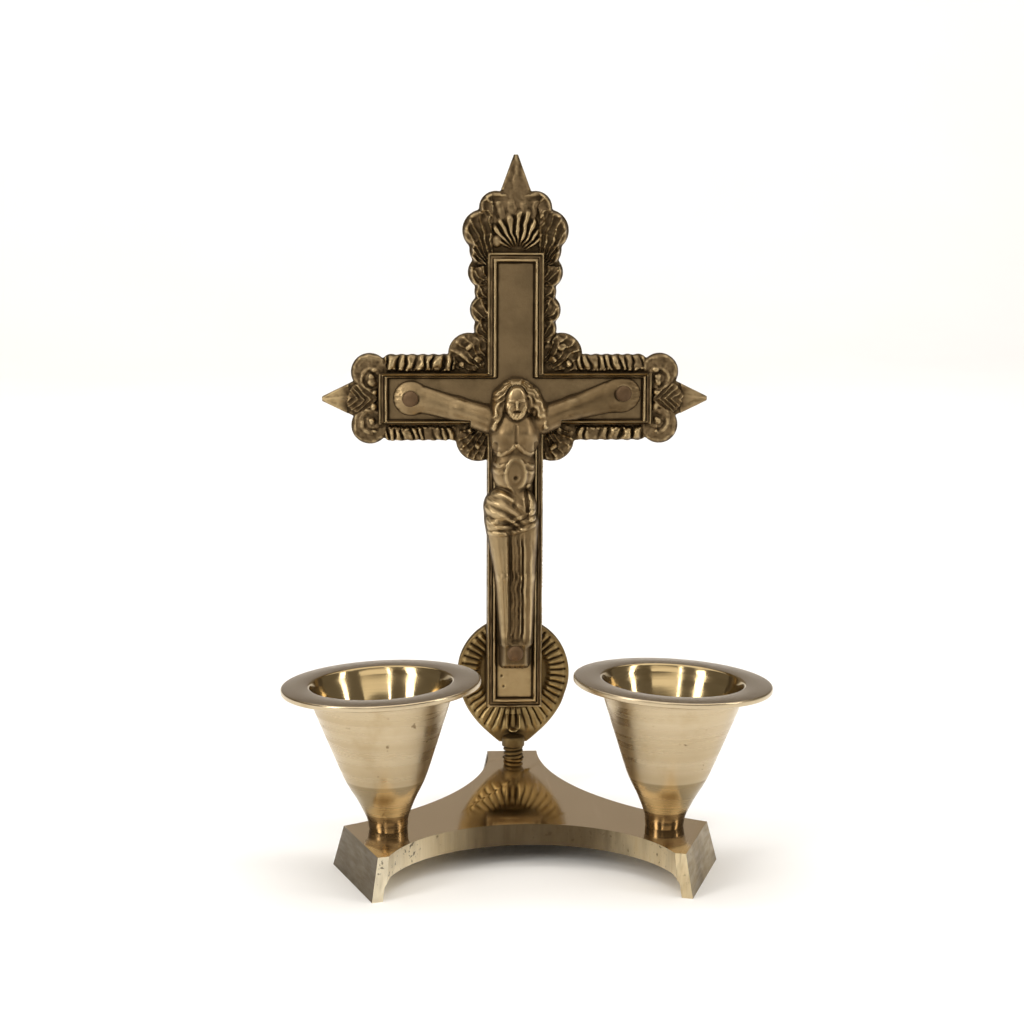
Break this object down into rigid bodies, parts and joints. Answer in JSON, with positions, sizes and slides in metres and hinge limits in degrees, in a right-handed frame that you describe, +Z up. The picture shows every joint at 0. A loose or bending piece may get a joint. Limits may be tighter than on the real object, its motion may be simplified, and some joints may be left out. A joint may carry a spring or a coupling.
{
  "type": "altar cross",
  "caption": "Small brass standing crucifix on a three-footed, concave-sided base plate, with a turned candle cup at each front corner.",
  "frame": {"origin": "on the ground, under the middle of the outer box", "axes": "+X to the object's left-to-right as seen from the front, +Y to the back, +Z up; the figure faces -Y"},
  "size_m": [0.0896, 0.0738, 0.13],
  "materials": {
    "plate_brass": "mirror-polished top, brushed and ground edges",
    "cup_brass": "lathe-turned and polished, with fine tool rings and light stains",
    "antique_brass": "cast relief with dark recesses and rubbed, bright high points",
    "figure_brass": "cast relief, polished on the high points",
    "fastener_brass": "plain machined"
  },
  "bodies": {
    "stand": {"base_plate": "plate_brass", "cup_left": "cup_brass", "cup_right": "cup_brass", "cup_screw_left": "fastener_brass", "cup_screw_right": "fastener_brass", "cup_washer_left": "fastener_brass", "cup_washer_right": "fastener_brass", "neck_nut": "fastener_brass"},
    "cross_on_neck": {"cross": "antique_brass", "corpus": "figure_brass", "nail_left_hand": "antique_brass", "nail_right_hand": "antique_brass", "nail_feet": "antique_brass", "sunburst": "antique_brass", "sunburst_rivet_left": "fastener_brass", "sunburst_rivet_right": "fastener_brass"}
  },
  "joints": [
    {"name": "cross_swivel", "type": "hinge", "parent": "stand", "child": "cross_on_neck", "pos_m": [0, 0.03046, 0.0076], "axis": [0, 0, 1], "range_deg": [-180, 180]}
  ]
}
